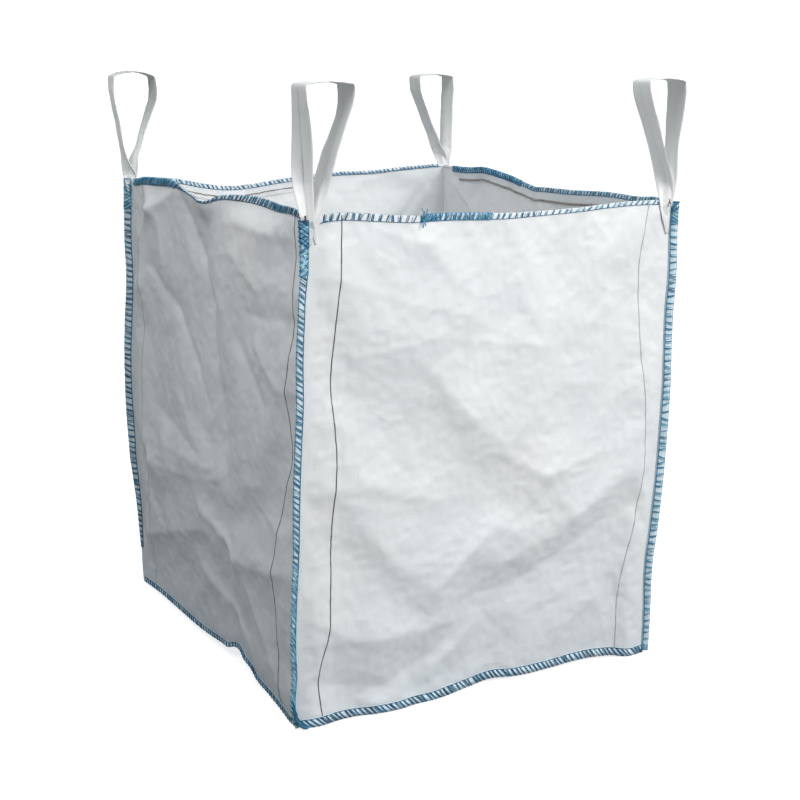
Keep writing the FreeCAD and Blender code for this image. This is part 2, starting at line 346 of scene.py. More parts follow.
def simulate_walls(grids):
    """Let the four walls buckle as one ring of stiff cloth held along its corners, rim and foot.

    Returns how far each point of each wall has moved.
    """
    ring = np.concatenate([grids[side][:-1] for side in SIDES])
    around = len(ring)
    starts = dict(zip(SIDES, np.cumsum([0] + [COLUMNS[side] for side in SIDES])))
    index = np.arange(around * (ROWS + 1)).reshape(around, ROWS + 1)
    ring_object = new_object("cloth_ring", ring.reshape(-1, 3).tolist(), grid_faces(around, ROWS + 1, around=True))
    held = ring_object.vertex_groups.new(name="held")
    held.add(index[:, [0, 1, ROWS - 1, ROWS]].ravel().tolist(), 1.0, "REPLACE")
    for column in starts.values():
        held.add(index[[column, (column + 1) % around, column - 1]].ravel().tolist(), 1.0, "REPLACE")
    cloth = ring_object.modifiers.new("cloth", "CLOTH")
    for setting, value in CLOTH_SETTINGS.items():
        setattr(cloth.settings, setting, value)
    cloth.settings.vertex_group_mass = "held"
    cloth.settings.effector_weights.gravity = GRAVITY_SHARE
    cloth.collision_settings.use_collision = False
    cloth.point_cache.frame_start = 1
    cloth.point_cache.frame_end = SIMULATED_FRAMES
    scene = bpy.context.scene
    for step in range(1, SIMULATED_FRAMES + 1):
        scene.frame_set(step)
    settled = ring_object.evaluated_get(bpy.context.evaluated_depsgraph_get()).to_mesh()
    points = np.empty(len(settled.vertices) * 3)
    settled.vertices.foreach_get("co", points)
    points = points.reshape(around, ROWS + 1, 3)
    moved = points - ring
    reach = np.linalg.norm(moved, axis=-1, keepdims=True)
    points = ring + moved * np.minimum(1, MOST_MOVED / np.maximum(reach, 1e-9))
    bpy.data.objects.remove(ring_object)
    scene.frame_set(1)
    drift = {}
    for side, column in starts.items():
        taken = np.arange(column, column + COLUMNS[side] + 1) % around
        drift[side] = points[taken] - ring[taken]
    return drift


def sample(field, share, level):
    """Values of a grid between its points."""
    c = np.clip(np.asarray(share, float), 0, 1) * (field.shape[0] - 1)
    r = np.clip(np.asarray(level, float), 0, 1) * (field.shape[1] - 1)
    c0 = np.minimum(c.astype(int), field.shape[0] - 2)
    r0 = np.minimum(r.astype(int), field.shape[1] - 2)
    fc, fr = (c - c0)[..., None], (r - r0)[..., None]
    return ((field[c0, r0] * (1 - fc) + field[c0 + 1, r0] * fc) * (1 - fr)
            + (field[c0, r0 + 1] * (1 - fc) + field[c0 + 1, r0 + 1] * fc) * fr)


def fine_walls():
    """The finished walls: the set shape on a finer grid, moved as the simulated cloth moved."""
    walls = {side: side_grid(side, FINER) for side in SIDES}
    drift = simulate_walls({side: side_grid(side) for side in SIDES})
    for side, wall in walls.items():
        wall += sample(drift[side], *even_grid(*wall.shape[:2]))
    return walls


GRIDS = fine_walls()


def wall_normals(grid):
    """Outward normal at each point of a wall's grid."""
    return unit(np.cross(np.gradient(grid, axis=0), np.gradient(grid, axis=1)))


NORMALS = {side: wall_normals(grid) for side, grid in GRIDS.items()}


def on_wall(side, share, level, out=0.0):
    """Points on a wall, moved outward by out."""
    return sample(GRIDS[side], share, level) + unit(sample(NORMALS[side], share, level)) * np.asarray(out)[..., None]


def below_rim(side, share, drop):
    """The level on a wall that is a given distance below its rim."""
    return 1 - np.asarray(drop) / (curve(RIM[side], share) - curve(FOOT_LIFT[side], share))


# ---------------------------------------------------------------- materials


def material(name, base, rough, **sockets):
    """A new material and its node tree, with the plain values set on its shader."""
    made = bpy.data.materials.new(name)
    made.use_nodes = True
    shader = made.node_tree.nodes["Principled BSDF"]
    shader.inputs["Base Color"].default_value = (*base, 1)
    shader.inputs["Roughness"].default_value = rough
    for socket, value in sockets.items():
        shader.inputs[socket.replace("_", " ")].default_value = value
    return made, shader


class Graph:
    """Short ways to add nodes to a material."""

    def __init__(self, made):
        self.nodes, self.links = made.node_tree.nodes, made.node_tree.links

    def plug(self, value, socket):
        if isinstance(value, (int, float, tuple)):
            socket.default_value = value
        else:
            self.links.new(value, socket)

    def math(self, operation, a, b=0.0, c=0.0):
        node = self.nodes.new("ShaderNodeMath")
        node.operation = operation
        for value, socket in zip((a, b, c), node.inputs):
            self.plug(value, socket)
        return node.outputs[0]

    def uv(self):
        node = self.nodes.new("ShaderNodeUVMap")
        node.uv_map = "metres"
        split = self.nodes.new("ShaderNodeSeparateXYZ")
        self.links.new(node.outputs[0], split.inputs[0])
        return split.outputs[0], split.outputs[1]

    def tone(self):
        """The tone that a mesh carries at each of its points."""
        node = self.nodes.new("ShaderNodeAttribute")
        node.attribute_name = "tone"
        return node.outputs["Fac"]

    def place(self):
        return self.nodes.new("ShaderNodeTexCoord").outputs["Object"]

    def noise(self, scale, detail=3.0, where=None, stretch=None):
        where = where or self.place()
        if stretch:
            scaled = self.nodes.new("ShaderNodeVectorMath")
            scaled.operation = "MULTIPLY"
            self.links.new(where, scaled.inputs[0])
            scaled.inputs[1].default_value = stretch
            where = scaled.outputs[0]
        node = self.nodes.new("ShaderNodeTexNoise")
        node.inputs["Scale"].default_value = scale
        node.inputs["Detail"].default_value = detail
        self.links.new(where, node.inputs["Vector"])
        return node.outputs["Fac"]

    def ramp(self, value, *stops):
        node = self.nodes.new("ShaderNodeValToRGB")
        self.links.new(value, node.inputs[0])
        while len(node.color_ramp.elements) < len(stops):
            node.color_ramp.elements.new(0.5)
        for element, (place, colour) in zip(node.color_ramp.elements, stops):
            element.position = place
            element.color = (*colour, 1)
        return node.outputs[0]

    def mix(self, factor, a, b):
        node = self.nodes.new("ShaderNodeMix")
        node.data_type = "RGBA"
        self.plug(factor, node.inputs[0])
        self.plug(a, node.inputs[6])
        self.plug(b, node.inputs[7])
        return node.outputs[2]

    def bump(self, height, distance, strength, shader):
        node = self.nodes.new("ShaderNodeBump")
        node.inputs["Distance"].default_value = distance
        node.inputs["Strength"].default_value = strength
        self.links.new(height, node.inputs["Height"])
        self.links.new(node.outputs[0], shader.inputs["Normal"])

    def weave(self, pitch):
        """Height of a plain weave of flat tapes, and the share of it that is the lower, shaded edge."""
        u, v = self.uv()
        u, v = self.math("DIVIDE", u, pitch), self.math("DIVIDE", v, pitch)
        across, up = self.math("PINGPONG", u, 0.5), self.math("PINGPONG", v, 0.5)
        turn = self.math("ADD", self.math("FLOOR", u), self.math("FLOOR", v))
        over = self.math("MODULO", self.math("ABSOLUTE", turn), 2.0)
        warp = self.math("POWER", across, 0.35)
        weft = self.math("POWER", up, 0.35)
        first = self.math("MULTIPLY", warp, over)
        second = self.math("MULTIPLY", weft, self.math("SUBTRACT", 1.0, over))
        return self.math("ADD", first, second)


TAPE_WIDTH = 0.0026
RIB_PITCH = 0.0021
PICK_PITCH = 0.0016
PLY_TURN = 0.0022


def cloth_material():
    made, shader = material("woven_panel_cloth", (0.8, 0.82, 0.835), 0.46, Specular_IOR_Level=0.42,
                            Sheen_Weight=0.12, Sheen_Roughness=0.4)
    g = Graph(made)
    height = g.weave(TAPE_WIDTH)
    clouds = g.noise(3.2, 4.0)
    tone = g.ramp(clouds, (0.32, (0.79, 0.81, 0.82)), (0.52, (0.84, 0.85, 0.855)), (0.7, (0.865, 0.865, 0.855)))
    # Painted shade: the cloth turns darker and bluer towards the foot of each wall, over its lowest 0.45 m, where
    # less light reaches it.
    _, rise = g.uv()
    low = g.math("MULTIPLY", g.math("SUBTRACT", 1.0, g.math("MINIMUM", g.math("DIVIDE", rise, 0.45), 1.0)), 0.16)
    tone = g.mix(low, tone, (0.4, 0.53, 0.66, 1))
    rubbed = g.noise(38.0, 6.0, stretch=(1.0, 1.0, 0.35))
    tone = g.mix(g.math("MULTIPLY", rubbed, 0.1), tone, (0.66, 0.69, 0.7, 1))
    # Painted shade on the edges of each tape, where the weave dips.
    weave_edge_shade = g.math("MULTIPLY", g.math("SUBTRACT", 0.78, height), 0.35)
    tone = g.mix(weave_edge_shade, tone, (0.55, 0.59, 0.61, 1))
    tone = g.mix(g.math("MULTIPLY", g.tone(), 0.55), tone, (0.56, 0.76, 0.86, 1))
    g.links.new(tone, shader.inputs["Base Color"])
    rough = g.math("MULTIPLY_ADD", g.noise(11.0, 3.0), 0.22, 0.35)
    g.links.new(rough, shader.inputs["Roughness"])
    coarse = g.math("ABSOLUTE", g.math("SUBTRACT", g.noise(5.5, 1.5), 0.5))
    fine = g.math("ABSOLUTE", g.math("SUBTRACT", g.noise(14.0, 1.5), 0.5))
    crumple = g.math("ADD", g.math("MULTIPLY", coarse, -0.01), g.math("MULTIPLY", fine, -0.0028))
    crumple = g.math("ADD", crumple, g.math("MULTIPLY", g.noise(30.0, 4.0), 0.0008))
    g.bump(g.math("ADD", g.math("MULTIPLY", height, 0.00022), crumple), 1.0, 1.0, shader)
    return made


def webbing_material():
    # The webbing glows faintly (emission 0.075): painted light that brightens it all over, its shaded parts too.
    made, shader = material("loop_webbing", (0.72, 0.745, 0.735), 0.5, Specular_IOR_Level=0.35,
                            Sheen_Weight=0.25, Sheen_Roughness=0.35, Emission_Color=(1, 1, 1, 1),
                            Emission_Strength=0.075)
    g = Graph(made)
    u, v = g.uv()
    rib = g.math("PINGPONG", g.math("DIVIDE", u, RIB_PITCH), 0.5)
    pick = g.math("PINGPONG", g.math("DIVIDE", g.math("ADD", v, g.math("MULTIPLY", u, 0.6)), PICK_PITCH), 0.5)
    height = g.math("ADD", g.math("POWER", rib, 0.5), g.math("MULTIPLY", pick, 0.6))
    tone = g.ramp(g.noise(9.0, 4.0), (0.3, (0.93, 0.94, 0.93)), (0.7, (0.96, 0.96, 0.95)))
    # Painted shade in the grooves between the webbing's ribs.
    tone = g.mix(g.math("MULTIPLY", g.math("SUBTRACT", 0.7, rib), 0.3), tone, (0.68, 0.71, 0.7, 1))
    # The tone attribute draws the webbing towards dark grey where it is below 1: painted shade along each leg's
    # middle fold and towards the crown, set in make_loop.
    tone = g.mix(g.tone(), (0.3, 0.33, 0.33, 1), tone)
    g.links.new(tone, shader.inputs["Base Color"])
    g.bump(height, 0.0011, 0.7, shader)
    return made


def thread_material(name, dark, middle, light, rough=0.45):
    made, shader = material(name, middle, rough, Specular_IOR_Level=0.4, Sheen_Weight=0.3, Sheen_Roughness=0.3)
    g = Graph(made)
    u, v = g.uv()
    mixed = g.math("ADD", g.math("MULTIPLY", g.tone(), 0.6), g.math("MULTIPLY", g.noise(70.0, 3.0), 0.4))
    colour = g.ramp(mixed, (0.22, dark), (0.5, middle), (0.78, light))
    ply = g.math("PINGPONG", g.math("ADD", g.math("DIVIDE", v, PLY_TURN), g.math("MULTIPLY", u, 2.0)), 0.5)
    # Painted shade in the grooves between the thread's plies.
    colour = g.mix(g.math("MULTIPLY", g.math("SUBTRACT", 0.5, ply), 0.5), colour, (*[0.5 * c for c in dark], 1))
    g.links.new(colour, shader.inputs["Base Color"])
    g.bump(ply, 0.0006, 0.8, shader)
    return made


MATERIALS = {
    "panel_cloth": cloth_material(),
    "webbing": webbing_material(),
    "blue_thread": thread_material("blue_overlock_thread", (0.022, 0.075, 0.16), (0.03, 0.285, 0.5),
                                   (0.46, 0.8, 0.94)),
    "brown_thread": thread_material("brown_hem_thread", (0.1, 0.07, 0.05), (0.27, 0.2, 0.14), (0.36, 0.35, 0.33)),
    "marker_yarn": thread_material("marker_yarn", (0.04, 0.04, 0.045), (0.1, 0.1, 0.11), (0.62, 0.63, 0.65)),
    "tack_thread": thread_material("tack_thread", (0.02, 0.022, 0.026), (0.06, 0.065, 0.075), (0.16, 0.17, 0.18)),
}

# ---------------------------------------------------------------- mesh making


def new_piece(name, points, faces, uvs, slot, nodes, tones=None):
    """A mesh object with its UVs in metres and its material; the CAD nodes that it stands for are hidden."""
    made = new_object(name, np.asarray(points).reshape(-1, 3).tolist(), faces)
    mesh = made.data
    layer = mesh.uv_layers.new(name="metres")
    corners = np.array([loop.vertex_index for loop in mesh.loops])
    layer.data.foreach_set("uv", np.asarray(uvs, np.float32)[corners].ravel())
    if tones is not None:
        attribute = mesh.attributes.new("tone", "FLOAT", "POINT")
        attribute.data.foreach_set("value", np.asarray(tones, np.float32))
    mesh.shade_smooth()
    mesh.materials.append(MATERIALS[slot])
    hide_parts(*nodes)
    return made


def thicken(piece, thickness, offset=-1.0, subdivide=1):
    """Give a sheet its thickness, round it once more and shade it evenly over its large faces."""
    if subdivide:
        finer = piece.modifiers.new("finer", "SUBSURF")
        finer.levels = finer.render_levels = subdivide
    solid = piece.modifiers.new("thickness", "SOLIDIFY")
    solid.thickness = thickness
    solid.offset = offset
    solid.use_even_offset = False
    shading = piece.modifiers.new("shading", "WEIGHTED_NORMAL")
    shading.mode = "FACE_AREA"
    shading.weight = 100
    return piece


def lengths(line):
    """Distance along a line of points."""
    steps = np.linalg.norm(np.diff(line, axis=0), axis=-1)
    return np.concatenate(((0,), np.cumsum(steps)))


class Strands:
    """Collects round threads into one mesh."""

    def __init__(self):
        self.points, self.faces, self.uvs, self.tones, self.count = [], [], [], [], 0

    def add(self, line, radius, tone=0.5, sides=6):
        """One thread along a line of points, closed at both ends."""
        line = np.asarray(line, float)
        radius = np.broadcast_to(radius, len(line))
        ways = unit(np.gradient(line, axis=0))
        side = np.cross(ways[0], (0.31, 0.52, 0.79))
        along = lengths(line)
        angles = np.arange(sides) * 2 * math.pi / sides
        for i, way in enumerate(ways):
            side = side - way * (side @ way)
            side /= np.linalg.norm(side)
            up = np.cross(way, side)
            ring = line[i] + radius[i] * (np.cos(angles)[:, None] * side + np.sin(angles)[:, None] * up)
            self.points.append(ring)
            self.uvs += [(k / sides, along[i]) for k in range(sides)]
        first, total = self.count, len(line) * sides
        for i in range(len(line) - 1):
            for k in range(sides):
                a, b = first + i * sides + k, first + i * sides + (k + 1) % sides
                self.faces.append((a, b, b + sides, a + sides))
        self.faces.append(tuple(range(first + sides - 1, first - 1, -1)))
        self.faces.append(tuple(range(first + total - sides, first + total)))
        self.tones += [tone] * total
        self.count += total

    def piece(self, name, slot, nodes):
        return new_piece(name, np.concatenate(self.points), self.faces, self.uvs, slot, nodes, self.tones)


def bezier(points, count):
    """Points of a smooth line that starts and ends at the first and last of the given points."""
    points = np.asarray(points, float)
    places = np.linspace(0, 1, len(points))
    where = np.linspace(0, 1, count)
    return np.stack([curve(np.stack((places, points[:, k]), -1), where) for k in range(3)], -1)


def overlock(strands, inner, edge, facing, pitch, slant, radius, tones, chance, half):
    """Overlock stitches along a seam, each a firm core with loose, paler filaments beside it.

    inner and edge are lines of the same number of points, the needle line and the free edge, in the middle of the
    seam's layers, which are half thick each way. facing is the way that one of the seam's faces looks, at each
    point. tones gives a stitch's colour by its place, 0 to 1.
    """
    run = lengths(edge)
    total = run[-1]
    count = max(2, round(total / pitch))

    def at(line, distance):
        return np.array([np.interp(distance, run, line[:, k]) for k in range(3)])

    needle = [[], []]
    purl = []
    off = half + 0.8 * radius
    for i in range(count + 1):
        place = total * i / count
        start = np.clip(place + chance.gauss(0, 0.06) * pitch, 0, total)
        end = np.clip(place + slant * pitch + chance.gauss(0, 0.12) * pitch, 0, total)
        tone = tones(start / total) + chance.gauss(0, 0.08)
        face = at(facing, start)
        for strand in range(4):
            loose = strand > 0
            shift = chance.uniform(-0.32, 0.32) * pitch if loose else 0.0
            root = at(inner, np.clip(start + shift, 0, total))
            tip = at(edge, np.clip(end + shift + loose * chance.gauss(0, 0.12) * pitch, 0, total))
            if loose:
                way = tip - root
                root, tip = root + way * chance.uniform(-0.04, 0.15), tip - way * chance.uniform(0, 0.1)
            out = tip - root
            out /= np.linalg.norm(out)
            thick = FRAY * chance.uniform(0.8, 1.3) if loose else radius * chance.uniform(0.85, 1.15)
            high = off - 0.4 * radius * loose
            route = [root + face * high, (root + tip) / 2 + face * (high + 0.3 * radius), tip + face * high,
                     tip + out * 1.1 * radius, tip - face * high, (root + tip) / 2 - face * (high + 0.3 * radius),
                     root - face * high]
            strands.add(bezier(route, 9 if loose else 13), thick, tone + loose * chance.uniform(0.18, 0.42),
                        4 if loose else 6)
        root, tip = at(inner, start), at(edge, end)
        out = (tip - root) / np.linalg.norm(tip - root)
        needle[0].append(root + face * (off + 0.3 * radius))
        needle[1].append(root - face * (off + 0.3 * radius))
        purl.append(tip + out * 1.0 * radius + face * chance.uniform(-0.6, 0.9) * radius)
    for line in needle:
        strands.add(bezier(line, 3 * len(line)), 0.85 * radius, tones(0.5) - 0.06)
    strands.add(bezier(purl, 3 * len(purl)), 0.55 * radius, tones(0.5) + 0.15)


def uv_grid(across, up):
    return np.stack(np.meshgrid(across, up, indexing="ij"), -1).reshape(-1, 2)


def cloth_piece(name, points, across, up, node):
    """A sheet of cloth from a grid of points, which lie at the given distances across and up it."""
    return new_piece(name, points, grid_faces(*points.shape[:2]), uv_grid(across, up), "panel_cloth", [node])


def strips_piece(name, strips, slot, nodes, tones):
    """Closed solids, each with a section whose corners follow its lines. tones are shared out evenly."""
    points, faces, uvs = [], [], []
    for i, lines in enumerate(np.asarray(strips)):
        count, steps = lines.shape[:2]
        first = i * count * steps
        ends = first + steps * np.arange(count)
        faces += grid_faces(count, steps, around=True, first=first)
        faces += [ends[::-1].tolist(), (ends + steps - 1).tolist()]
        points.append(lines.reshape(-1, 3))
        uvs.append(uv_grid(lengths(lines[:, steps // 2]), lengths(lines[0])))
    points = np.concatenate(points)
    return new_piece(name, points, faces, np.concatenate(uvs), slot, nodes,
                     np.repeat(tones, len(points) // len(tones)))


def follow_collapse(piece):
    """Bake a wall piece's placement into its mesh."""
    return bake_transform(piece)


# ---------------------------------------------------------------- cloth
def make_panel(side):
    grid = GRIDS[side]
    columns, rows = grid.shape[:2]
    piece = cloth_piece(f"panel_{side}", grid, np.linspace(0, SIDE_LENGTH[side], columns),
                        np.linspace(0, HEIGHT, rows), f"side_panel_{side}")
    return follow_collapse(thicken(piece, CLOTH, subdivide=0))


def foot_of(side, share):
    """Points along the very foot of a wall."""
    return sample(GRIDS[side], share, np.zeros_like(share))


def make_base():
    """The base sheet lies on the floor and rises to the foot seams at its edges."""
    x, y = even_grid(60, 64)
    a, b = x[..., None], y[..., None]
    near_left, near_right = GRIDS["front"][[0, -1], 0]
    far_right, far_left = GRIDS["back"][[0, -1], 0]
    corners = near_left * (1 - a) * (1 - b) + near_right * a * (1 - b) + far_right * a * b + far_left * (1 - a) * b
    points = (foot_of("front", x) * (1 - b) + foot_of("back", 1 - x) * b + foot_of("left", 1 - y) * (1 - a)
              + foot_of("right", y) * a - corners)
    inside = smooth(2 * np.minimum(np.minimum(x, 1 - x), np.minimum(y, 1 - y)) / 0.14)
    wave = faceted(11, 40, 0.006, x, y) + faceted(12, 110, 0.002, x, y)
    points[..., 2] = points[..., 2] * (1 - inside) + inside * (0.0022 + np.maximum(soften(wave, 1), 0))
    piece = cloth_piece("panel_base", points, x[:, 0] * WIDTH, y[0] * DEPTH, "base_panel")
    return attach(thicken(piece, CLOTH), "bag")


HEM_CAUGHT = {"right": (0.025, 0.1), "back": (0.345, 0.395)}


def make_hem(side):
    """Top edge of the cloth, turned in and down inside the wall, and caught up where it nears the far loop."""
    share = np.linspace(0.004, 0.996, 140)
    if side in HEM_CAUGHT:
        low, high = HEM_CAUGHT[side]
        from_far = (share if side == "back" else 1 - share) * SIDE_LENGTH[side]
        deep = 0.12 + 0.88 * smooth((from_far - low) / (high - low))
    else:
        deep = np.ones_like(share)
    section = ((0.0006, -0.0002), (0.0, -0.0014), (0.0014, -0.0021), (0.01, -0.0023), (0.02, -0.0022),
               (0.03, -0.0024), (0.0355, -0.0021))
    ripple = 0.0006 * np.sin(share * 47) + 0.0005 * np.sin(share * 113 + 1)
    points = np.stack([
        on_wall(side, share, below_rim(side, share, max(drop, 0) * deep), out - ripple * (drop > 0.015))
        for drop, out in section], 1)
    points[:, 1, 2] += 0.001
    points[:, 0, 2] += 0.0004
    drops = [drop for drop, _ in section]
    piece = cloth_piece(f"hem_{side}", points, share * SIDE_LENGTH[side], drops, f"rim_hem_{side}")
    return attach(thicken(piece, CLOTH, offset=0.0, subdivide=0), "rim")


def make_base_seam(side):
    """Seam allowances of wall and base, two plies hanging round the foot."""
    share = np.linspace(0.002, 0.998, 120)
    top, tip = foot_lines(side, share)
    out = np.array(OUTWARD[side])
    strips = []
    for ply in (-PLY_GAP, PLY_GAP):
        spread = 0.0006 * np.sin(share * 61 + ply * 9000)[:, None] * out
        section = [line + out * (ply + half) * max(part, 0.25) + spread * part
                   for half in (-PLY_HALF, PLY_HALF) for line, part in ((top, 0), ((top + tip) / 2, 0.5), (tip, 1))]
        strips.append([section[0], section[1], section[2], section[5], section[4], section[3]])
    piece = strips_piece(f"foot_seam_{side}", strips, "panel_cloth", [f"base_seam_{side}"], (1.3, 1.3))
    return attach(piece, "bag")


FOOT_SEAM = {"front": 0.0165, "right": 0.014, "back": 0.014, "left": 0.009}


def foot_lines(side, share):
    """Top and free edge of the seam allowance that hangs round a wall's foot."""
    foot = foot_of(side, share)
    out = np.array(OUTWARD[side])
    top = on_wall(side, share, np.full_like(share, FOOT_SEAM[side]), 0.0007)
    tip = foot + out * 0.0055
    tip[:, 2] = np.maximum(foot[:, 2] - 0.0002, 0.0034)
    return top, tip


FLANGE_TURN = {"front_left": 190, "front_right": 330, "back_right": 45, "back_left": 140}
FLANGE_REACH = {
    "front_left": ((0, 0.6), (0.25, 0.7), (0.45, 0.88), (0.9, 1.0), (1, 1.05)),
    "front_right": ((0, 0.75), (0.2, 0.9), (1, 0.9)),
    "back_right": ((0, 1.0), (1, 1.0)),
    "back_left": ((0, 0.35), (0.08, 0.45), (0.2, 0.75), (0.35, 1.0), (1, 1.0)),
}
FLANGE_FOOT = 0.001


def corner_frames(corner, level):
    """Root of a corner's flange, the way it stands out, the way one of its faces looks, and how far it reaches."""
    side = next(name for name, ends in SIDES.items() if ends[0] == corner)
    root = sample(GRIDS[side], np.zeros_like(level), level)
    seed = sum(map(ord, corner))
    angle = FLANGE_TURN[corner] + 6 * np.sin(level * 9 + seed) + 4 * np.sin(level * 23 + 2 * seed)
    angle = np.radians(angle)
    way = np.stack((np.cos(angle), np.sin(angle), 0 * angle), -1)
    face = np.stack((-np.sin(angle), np.cos(angle), 0 * angle), -1)
    return root, way, face, FLANGE * curve(FLANGE_REACH[corner], level)[:, None]


def make_corner_seam(corner):
    """Seam allowances of two walls, two plies standing out along the corner."""
    level = np.linspace(FLANGE_FOOT, 0.999, 220)
    root, way, face, reach = corner_frames(corner, level)
    strips = []
    for ply in (-PLY_GAP, PLY_GAP):
        lines = []
        for half, order in ((-PLY_HALF, (-0.05, 0.33, 0.67, 1)), (PLY_HALF, (1, 0.67, 0.33, -0.05))):
            for distance in order:
                splay = 0.0008 * max(distance, 0) * np.sin(level * 71 + 5 * (ply > 0))[:, None]
                lines.append(root + way * reach * distance + face * (ply + half + splay))
        strips.append(lines)
    piece = strips_piece(f"corner_flange_{corner}", strips, "panel_cloth", [f"corner_seam_{corner}"], (1.0, 1.0))
    follow_collapse(piece)


YARN_HALF_WIDTH = 0.0013


def yarn_share(side, inset, level, from_end):
    """Share of a side that is a given distance in from where its corner would stand upright."""
    axis = 0 if side in ("front", "back") else 1
    first, second = (corner_line(corner, level)[:, axis] for corner in SIDES[side])
    start, end = (CORNERS[corner][axis] for corner in SIDES[side])
    place = end - inset * np.sign(end - start) if from_end else start + inset * np.sign(end - start)
    return (place - first) / (second - first)


def make_yarn_pair(side, first, second):
    """Two tracer yarns, each given by its distance in from a corner at a few heights."""
    level = np.linspace(0.004, 0.996, 260)
    length = SIDE_LENGTH[side]
    strands = []
    for points, from_end in ((first, False), (second, True)):
        share = yarn_share(side, curve(points, level), level, from_end)
        half = YARN_HALF_WIDTH / length
        lines = [on_wall(side, share + a * half, level, out)
                 for a, out in ((-1, 0.0001), (-0.6, 0.0006), (0.6, 0.0006), (1, 0.0001))]
        strands.append(lines)
    follow_collapse(strips_piece(f"yarns_{side}", strands, "marker_yarn", [f"marker_yarns_{side}"],
                                 YARN_TONES[side]))


YARN_TONES = {"front": (0.5, 0.92), "right": (0.6, 0.8), "back": (0.6, 0.6), "left": (1.1, 0.5)}
YARNS = {
    "front": (((0, 0.047), (0.1, 0.039), (0.19, 0.058), (0.27, 0.062), (0.42, 0.066), (0.53, 0.074), (0.68, 0.065),
               (0.8, 0.073), (0.91, 0.081), (1, 0.086)),
              ((0, 0.087), (0.2, 0.081), (0.3, 0.059), (0.45, 0.044), (0.55, 0.045), (0.74, 0.068), (0.9, 0.072),
               (1, 0.056))),
    "right": (((0, 0.07), (0.3, 0.078), (0.7, 0.066), (1, 0.074)), ((0, 0.072), (0.4, 0.064), (1, 0.076))),
    "back": (((0, 0.074), (0.5, 0.066), (1, 0.078)), ((0, 0.066), (0.5, 0.078), (1, 0.07))),
    "left": (((0, 0.07), (0.3, 0.082), (0.6, 0.066), (1, 0.074)),
             ((0, 0.09), (0.34, 0.102), (0.42, 0.088), (0.52, 0.05), (0.65, 0.076), (0.75, 0.062), (0.9, 0.064),
              (1, 0.07))),
}

# ---------------------------------------------------------------- threads
UP = np.array((0.0, 0.0, 1.0))
THREAD = 0.001
FRAY = 0.00055
RIM_MIDDLE = -0.0012        # middle of wall and hem together, in from the wall's face


def steady(level):
    return lambda place: level


def make_rim_thread(side, band, tones, slant, pitch, turned=False, start=0.03, end=0.03, radius=THREAD):
    """Overlock over the top edge of a side, between the feet of its loops, on a band as tall as band gives."""
    chance = draws(side, 100)
    share = np.linspace(start / SIDE_LENGTH[side], 1 - end / SIDE_LENGTH[side], 240)
    drop = curve(band, share) - 0.003
    inner = on_wall(side, share, below_rim(side, share, drop), RIM_MIDDLE)
    edge = on_wall(side, share, np.ones_like(share), RIM_MIDDLE) - UP * 0.0002
    normal = sample(NORMALS[side], share, below_rim(side, share, drop / 2))
    strands = Strands()
    overlock(strands, inner, edge, -normal if turned else normal, pitch, slant, radius, tones, chance, 0.0014)
    if side == "front":
        add_front_rim_mend(strands, chance)
    if side == "left":
        add_second_run(strands, side, 0.012, 0.3, 0.56, chance)
    if side == "right":
        add_second_run(strands, side, 0.6, 1 - end / SIDE_LENGTH[side], 0.3, chance)
    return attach(strands.piece(f"rim_stitches_{side}", "blue_thread", [f"rim_thread_{side}"]), "rim")


def add_second_run(strands, side, low, high, tone, chance):
    """Second, closer run of stitches over part of a rim."""
    share = np.linspace(low, high, 70)
    inner = on_wall(side, share, below_rim(side, share, 0.0115), RIM_MIDDLE)
    edge = on_wall(side, share, np.ones_like(share), RIM_MIDDLE) + UP * 0.0006
    normal = sample(NORMALS[side], share, below_rim(side, share, 0.008))
    overlock(strands, inner, edge, normal, 0.0105, chance.uniform(0.3, 1.1), 0.0011, steady(tone), chance, 0.0022)


def add_front_rim_mend(strands, chance):
    """Second run of stitches over the first, which starts in a tuft of loose ends."""
    add_second_run(strands, "front", 0.285, 0.335, 0.42, chance)
    add_second_run(strands, "front", 0.285, 0.475, 0.52, chance)
    foot = on_wall("front", 0.289, below_rim("front", 0.289, 0.006), 0.003)
    for dx, dy, dz in ((-0.007, -0.004, 0.021), (0.0, -0.005, 0.016), (0.006, -0.002, 0.02), (-0.005, -0.006, -0.017),
                       (0.002, -0.004, -0.013), (0.004, -0.004, 0.012)):
        tip = foot + np.array((dx, dy, dz))
        middle = (foot + tip) / 2 + np.array((chance.uniform(-0.003, 0.003), -0.002, 0))
        strands.add(bezier([foot, middle, tip], 9), 0.001, 0.55)
    start = on_wall("front", 0.045, below_rim("front", 0.045, 0.0115), 0.0016)
    end = on_wall("front", 0.028, below_rim("front", 0.028, 0.0135), 0.0022)
    strands.add(bezier([start, (start + end) / 2 + UP * 0.0012, end], 7), THREAD, 0.22)


def make_base_thread(side, tone, slant, pitch):
    """Overlock round the foot seam of a side."""
    chance = draws(side, 200)
    share = np.linspace(0.004, 0.996, 240)
    top, tip = foot_lines(side, share)
    inner = top + (tip - top) * 0.03
    out = np.broadcast_to(np.array(OUTWARD[side]), inner.shape)
    strands = Strands()
    overlock(strands, inner, tip, out, pitch, slant, 0.8 * THREAD, steady(tone), chance, 0.0013)
    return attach(strands.piece(f"foot_stitches_{side}", "blue_thread", [f"base_thread_{side}"]), "bag")


def corner_run(strands, corner, low, high, pitch, slant, radius, tones, chance, extra=0.0):
    """Overlock along part of a corner's flange."""
    level = np.linspace(low, high, max(24, round((high - low) * 220)))
    root, way, face, reach = corner_frames(corner, level)
    inner = root + way * 0.003
    edge = root + way * (reach + extra)
    overlock(strands, inner, edge, face, pitch, slant, radius, tones, chance, 0.0013 + extra)


